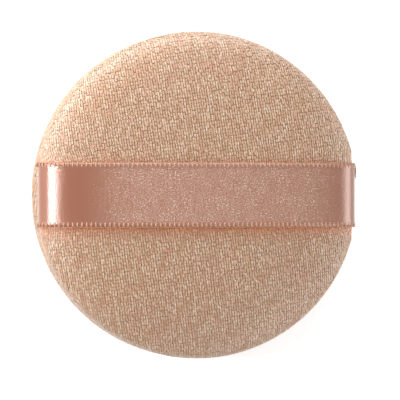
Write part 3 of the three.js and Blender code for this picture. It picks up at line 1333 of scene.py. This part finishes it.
@dataclass(frozen=True)
class SatinRibbon:
    """The strap: a woven strip with looped edges, sewn into the seam at both ends."""

    pad: Pad
    satin: bpy.types.Material
    edging: bpy.types.Material
    # The lower edge's loops and cord get the stronger painted glow.
    edges: tuple[Edge, ...] = (Edge(1, 1.0, 0.3, 0.3), Edge(-1, 1.3, 0.9, 1.0))
    thickness: float = 0.0003
    selvedge_width: float = 0.0011
    selvedge_rise: float = 0.0001
    selvedge_fullness: float = 0.4
    rim_share: float = 0.5
    bow: float = 0.0001
    tail: float = 0.0054
    steps: int = 300
    columns: int = 28
    loop_pitch: float = 0.00112
    loop_half: float = 0.00056
    loop_rise: float = 0.00019
    slant_spread: float = 0.16
    under_share: float = 0.4
    cord_radius: float = 0.0001
    yarn_radius: float = 0.00027
    yarn_flatness: float = 0.38
    yarn_tilt: float = 0.3
    yarn_steps: int = 12
    # Where the satin's painted sheen and glints lie along the ribbon.
    glint_middle: float = 0.004
    glint_reach: float = 0.034
    glint_band: Pair = (0.3, 1.0)
    seed: int = 31

    @property
    def edge_thickness(self) -> float:
        """The selvedge's thickness."""
        return self.thickness + 2 * self.selvedge_rise

    @property
    def yarn_half(self) -> float:
        """Half of the edging yarn's thickness."""
        return self.yarn_radius * self.yarn_flatness

    @property
    def strip_half(self) -> float:
        """Half of the woven strip's width, inside the loops."""
        return self.pad.ribbon_width / 2 - self.yarn_half * 2

    def on_selvedge(self, y: np.ndarray) -> np.ndarray:
        """0 in the ribbon's middle, rising to 1 on its selvedges."""
        inner = self.strip_half - self.selvedge_width
        return smooth_step(np.abs(y), inner - self.selvedge_rise, inner + self.selvedge_rise)

    def strip(self, line: RibbonLine) -> Surface:
        """The woven strip: thin in the middle, thicker at both edges, closed all round.

        Args:
            line: The ribbon's side view.

        Returns:
            The strip, with the numbers along, across, glint and edge.
        """
        across = np.linspace(-1, 1, self.columns + 1) * self.strip_half
        rise = self.selvedge_rise * self.selvedge_fullness
        half = self.thickness / 2 + rise * self.on_selvedge(across)
        half[[0, -1]] *= self.rim_share
        y = np.concatenate([across, across[::-1]])
        up = np.concatenate([-half, half[::-1]])
        place, _, out = line.frame_at(line.length)
        rings = place[:, None] + out[:, None] * up[None, :, None]
        rings[..., 1] += y
        strip = Surface.skinned(rings)
        strip.points[:, 2] += self.pad.seam_height
        # The glint number marks the stretch of painted sheen and glints over the ribbon's middle.
        past_glint = (strip.points[:, 0] - self.glint_middle) / self.glint_reach
        strip.numbers = {
            "along": np.append(np.repeat(line.length, len(y)), line.length[[0, -1]]),
            "across": np.append(np.tile(y, len(line.length)), [0.0, 0.0]),
            "glint": 1 - smooth_step(past_glint**2, *self.glint_band),
            "edge": self.on_selvedge(strip.points[:, 1]),
        }
        return strip

    def looped_edge(self, line: RibbonLine, edge: Edge) -> Surface:
        """One weft yarn wound round an edge: a flat coil, one turn for each pitch of the selvedge.

        The coil's steady advance less a triangle wave of a quarter turn makes each loop stand
        upright on the ribbon's face, and it takes the step to the next one underneath. The wave's
        size, a little different for each loop, sets its slant.

        Args:
            line: The ribbon's side view.
            edge: Which edge.

        Returns:
            The yarn, as one closed tube.
        """
        random = np.random.default_rng(self.seed + edge.sign)
        count = int((line.length[-1] - self.loop_pitch) / self.loop_pitch)
        turns = np.linspace(0, count, count * self.yarn_steps + 1)
        phase = turns * FULL_TURN
        slant = edge.slant + random.normal(0, self.slant_spread, count + 1)
        wave = np.arcsin(np.cos(phase)) / FULL_TURN
        advance = turns + wave * np.interp(turns, np.arange(count + 1), slant)
        place, forward, out = line.frame_at((advance + 0.5) * self.loop_pitch)
        middle = self.pad.ribbon_width / 2 - self.loop_half - self.yarn_half
        height = np.maximum(np.sin(phase), self.under_share * np.sin(phase))
        path = place + out * (self.loop_rise * height)[:, None]
        path[:, 1] += edge.sign * (middle + self.loop_half * np.cos(phase))
        upright = forward + out * self.yarn_tilt
        yarn = Surface.tube(path, self.yarn_radius, upright, flatness=self.yarn_flatness)
        yarn.points[:, 2] += self.pad.seam_height
        past = np.abs(yarn.points[:, 1]) - self.pad.ribbon_width / 2
        yarn.numbers["outer"] = smooth_step(past, -2 * self.cord_radius, 0) * edge.painted_loop_glow
        return yarn

    def edge_cord(self, line: RibbonLine, edge: Edge) -> Surface:
        """The straight yarn that the loops of one edge catch.

        Args:
            line: The ribbon's side view.
            edge: Which edge.

        Returns:
            The yarn, as a closed tube along that edge.
        """
        place, _, _ = line.frame_at(line.length)
        y = edge.sign * (self.pad.ribbon_width / 2 - self.cord_radius)
        path = place + (0, y, self.pad.seam_height)
        cord = Surface.tube(path, self.cord_radius, np.array([0.0, 1.0, 0.0]))
        cord.numbers["outer"] = np.full(len(cord.points), edge.painted_cord_glow)
        return cord

    def build(self) -> list[bpy.types.Object]:
        """Makes the strip and its looped edges.

        Returns:
            Both pieces, which replace the ribbon's solid.
        """
        pad = self.pad
        line = RibbonLine.over(pad, self.edge_thickness, self.bow, self.tail, self.steps)
        strip = self.strip(line).to_object("ribbon_strip", self.satin)
        yarns = [
            make(line, edge) for make in (self.looped_edge, self.edge_cord) for edge in self.edges
        ]
        mapped = [yarn.in_column(number, len(yarns)) for number, yarn in enumerate(yarns)]
        loops = Surface.joined(mapped).to_object("ribbon_edge_loops", self.edging)
        for piece in (strip, loops):
            bend_with_lift(piece)
            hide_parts("satin_ribbon")
        return [strip, loops]


@dataclass(frozen=True)
class LooseEnds:
    """What the sewing left: a frayed thread at the ribbon's right end and a knot at its left."""

    pad: Pad
    finish: bpy.types.Material
    thread: float = 0.00012
    stand_off: float = 0.00095
    fray_y: float = 0.0074
    fray_length: float = 0.0040
    fray_lengths: Pair = (0.3, 1.0)
    fray_sway: Pair = (-0.05, 0.08)
    fray_lift: float = 0.05
    fray_lift_spread: float = 0.1
    fray_points: int = 16
    fray_taper: float = 0.6
    filaments: int = 9
    curl: float = 0.00022
    curl_turn: Pair = (4, 9)
    curl_flatness: float = 0.5
    curl_start: float = 0.3
    knot_y: float = 0.0072
    knot_radius: float = 0.00024
    knot_turns: float = 3.5
    knot_points: int = 60
    knot_fullness: float = 1.3
    knot_tilt: float = 0.01
    seed: int = 47

    def at_rim(self, sign: int, y: float) -> np.ndarray:
        """The ribbon's outer face where it is widest.

        Args:
            sign: 1 for the right end and -1 for the left one.
            y: How far from the ribbon's middle.

        Returns:
            The place.
        """
        reach = self.pad.rim_radius - self.pad.ribbon_draw + self.stand_off
        return np.array([sign * reach, y, self.pad.seam_height + self.pad.back_lobe])

    def fray(self) -> list[Surface]:
        """Filaments that hang along the ribbon's edge, each a line with a curl that widens.

        Returns:
            One tapered tube for each filament.
        """
        random = np.random.default_rng(self.seed)
        share = np.linspace(0, 1, self.fray_points)[:, None]
        thin = self.thread * (1 - self.fray_taper * share[:, 0])
        tubes = []
        for _ in range(self.filaments):
            sway = random.uniform(*self.fray_sway)
            ahead = np.array([sway, -1.0, random.normal(self.fray_lift, self.fray_lift_spread)])
            length = self.fray_length * random.uniform(*self.fray_lengths)
            turn = share * random.uniform(*self.curl_turn) + random.uniform(0, FULL_TURN)
            flat = self.curl_flatness * np.sin(turn)
            curl = np.concatenate([np.cos(turn), flat, np.sin(turn)], axis=1) * self.curl
            line = self.at_rim(1, self.fray_y) + ahead * share * length
            path = line + curl * (self.curl_start + share)
            tubes.append(Surface.tube(path, thin, np.array([0.0, 0.3, 1.0])))
        return tubes

    def knot(self) -> Surface:
        """A thread wound into a little ball: a circle whose plane tips over with every turn.

        Returns:
            The thread, as one closed tube.
        """
        turn = np.linspace(0, self.knot_turns * FULL_TURN, self.knot_points)
        tip = turn / self.knot_turns / 2
        circle = np.cos(turn), np.sin(turn) * np.cos(tip), np.sin(turn) * np.sin(tip)
        ball = np.stack(circle, axis=1)
        path = self.at_rim(-1, self.knot_y) + ball * self.knot_radius
        upright = unit(ball) - unit(np.gradient(path, axis=0)) * self.knot_tilt
        return Surface.tube(path, self.thread * self.knot_fullness, upright)

    def build(self) -> list[bpy.types.Object]:
        """Makes both ends as one piece.

        Returns:
            The piece.
        """
        ends = [*self.fray(), self.knot()]
        mapped = [end.in_column(number, len(ends)) for number, end in enumerate(ends)]
        piece = Surface.joined(mapped).to_object("loose_thread_ends", self.finish)
        bend_with_lift(piece)
        return [piece]


@dataclass(frozen=True)
class Sewing:
    """The threads of the rim seam and the ribbon's tacks, which keep the frame's own shapes."""

    finish: bpy.types.Material

    def build(self) -> list[bpy.types.Object]:
        """Gives every thread its finish.

        Returns:
            The threads' nodes.
        """
        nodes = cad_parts.items()
        threads = [node for name, node in nodes if "thread" in name or "tack" in name]
        for node in threads:
            node.data.materials.clear()
            node.data.materials.append(self.finish)
        return threads


@dataclass(frozen=True)
class Softbox:
    """A rectangular studio lamp that faces the puff.

    Its azimuth runs from +X towards +Y and its elevation from the table up, in degrees. Its power
    makes a white card that faces it show share of full white.
    """

    name: str
    azimuth: float
    elevation: float
    share: float
    wide: float
    high: float
    distance: float = 0.6

    def build(self, target: Vector) -> None:
        """Places the lamp.

        Args:
            target: The point that it faces.
        """
        turn, rise = math.radians(self.azimuth), math.radians(self.elevation)
        level = math.cos(rise)
        back = Vector((math.cos(turn) * level, math.sin(turn) * level, math.sin(rise)))
        right = Vector((-math.sin(turn), math.cos(turn), 0.0))
        lamp = bpy.data.lights.new(self.name, "AREA")
        lamp.shape = "RECTANGLE"
        lamp.size, lamp.size_y = self.wide, self.high
        lamp.energy = self.share * math.pi**2 * self.distance**2
        lamp_object = bpy.data.objects.new(self.name, lamp)
        axes = Matrix((right, back.cross(right), back)).transposed().to_4x4()
        lamp_object.matrix_world = Matrix.Translation(target + back * self.distance) @ axes
        bpy.context.scene.collection.objects.link(lamp_object)


@dataclass(frozen=True)
class Studio:
    """A pale table, a white surround, soft lamps and the camera."""

    pad: Pad
    view_width: float = 0.0983
    camera_distance: float = 0.8
    camera_tilt: float = math.radians(10)
    camera_clip: Pair = (0.01, 20)
    sensor_width: float = 0.036
    picture_width: float = 400
    puff_pixel: tuple[float, float] = (195.3, 195.0)
    table_radius: float = 3.0
    table_sides: int = 64
    table_colour: Colour = (0.86, 0.86, 0.86)
    table_glow: float = 0.45
    world_light: float = 0.30
    boxes: tuple[Softbox, ...] = (
        Softbox("key_upper_left", 138, 11, 0.78, 0.42, 0.12),
        Softbox("key_above_it", 138, 35, 0.10, 0.34, 0.20),
        Softbox("strip_left", 180, 33, 0.50, 0.08, 0.22),
        Softbox("edge_left", 180, 18, 0.32, 0.70, 0.40),
        Softbox("edge_top", 90, 12, 0.80, 0.60, 0.26),
        Softbox("fill_lower_right", 315, 30, 0.30, 0.40, 0.30),
        Softbox("edge_right", 0, 8, 0.52, 0.50, 0.26),
        Softbox("fill_below", 275, 30, 0.05, 0.40, 0.30),
        Softbox("overhead", 80, 70, 0.08, 0.30, 0.30),
    )

    def camera(self) -> None:
        """Looks down on the puff, a little from the left, with the ribbon level."""
        back = Vector((-math.sin(self.camera_tilt), 0, math.cos(self.camera_tilt)))
        scale = self.view_width / self.picture_width
        centre = self.picture_width / 2
        right = (centre - self.puff_pixel[0]) * scale
        up = (self.puff_pixel[1] - centre) * scale
        target = Vector((right, up, self.pad.seam_height))
        data = bpy.data.cameras.new("camera")
        data.sensor_width = self.sensor_width * MILLIMETRES
        data.lens = data.sensor_width * self.camera_distance / self.view_width
        data.clip_start, data.clip_end = self.camera_clip
        camera = bpy.data.objects.new("camera", data)
        camera.location = target + back * self.camera_distance
        camera.rotation_euler = (0, -self.camera_tilt, 0)
        bpy.context.scene.collection.objects.link(camera)
        bpy.context.scene.camera = camera

    def surround(self) -> None:
        """A world that is white to the camera and in reflections, and soft light on the puff."""
        world = bpy.data.worlds.new("white_surround")
        bpy.context.scene.world = world
        graph = Graph(world)
        strength = graph.seen() * (1 - self.world_light) + self.world_light
        graph.finish(Color=WHITE, Strength=strength)

    def table(self) -> None:
        """A round pale table, whose glow to the camera shows it white and keeps the shadow."""
        graph = Graph.named("table_top")
        top = graph.finish(Base_Color=self.table_colour, Roughness=1.0, Specular_IOR_Level=0.0)
        glow = graph.node("ShaderNodeEmission", {}, {"Strength": graph.seen() * self.table_glow})
        body = Wire(graph, graph.shader.outputs[0])
        both = graph.node("ShaderNodeAddShader", {}, {0: body, 1: glow})
        graph.plug(graph.output.inputs["Surface"], both)
        sides = self.table_sides
        rim = revolved(np.array([[self.table_radius, 0.0]]), sides)[0]
        i = np.arange(sides)
        triangles = np.stack([np.full(sides, sides), i, (i + 1) % sides], axis=1)
        surface = Surface(np.append(rim, [[0, 0, 0]], axis=0), np.zeros((0, 4), int), triangles)
        surface.to_object("table", top)

    def build(self) -> None:
        """Sets up the camera, the surround, the table and the lamps.

        The lamps are a low key at the upper left with a weak one over it, a narrow strip that the
        satin mirrors, broad low panels at the left, top and right, weak fills and one overhead.
        """
        bpy.context.scene.view_settings.view_transform = "Standard"
        self.camera()
        self.surround()
        self.table()
        for box in self.boxes:
            box.build(Vector((0, 0, self.pad.seam_height)))


def main() -> None:
    """Builds the studio and every piece of the puff, and reports each piece."""
    logging.basicConfig(level=logging.INFO, format="%(name)s %(message)s")
    pad = Pad.from_frame()
    Studio(pad).build()
    velour = VelourFinish().material()
    edging = YarnFinish("ribbon_edging", (0.34, 0.16, 0.095), (0.44, 0.235, 0.155)).material()
    sewing = YarnFinish("sewing_thread", (0.60, 0.38, 0.28), (0.78, 0.55, 0.43)).material()
    for part in (
        VelourCover("velour_back", "back_cover", Side.UP, pad, velour, seed=11),
        VelourCover("velour_face", "face_cover", Side.DOWN, pad, velour, seed=23),
        FoamCore(pad, FoamFinish().material()),
        SatinRibbon(pad, SatinFinish().material(), edging),
        LooseEnds(pad, edging),
        Sewing(sewing),
    ):
        for piece in part.build():
            log.info("%s: %d faces", piece.name, len(piece.data.polygons))


if __name__ == "__main__":
    main()
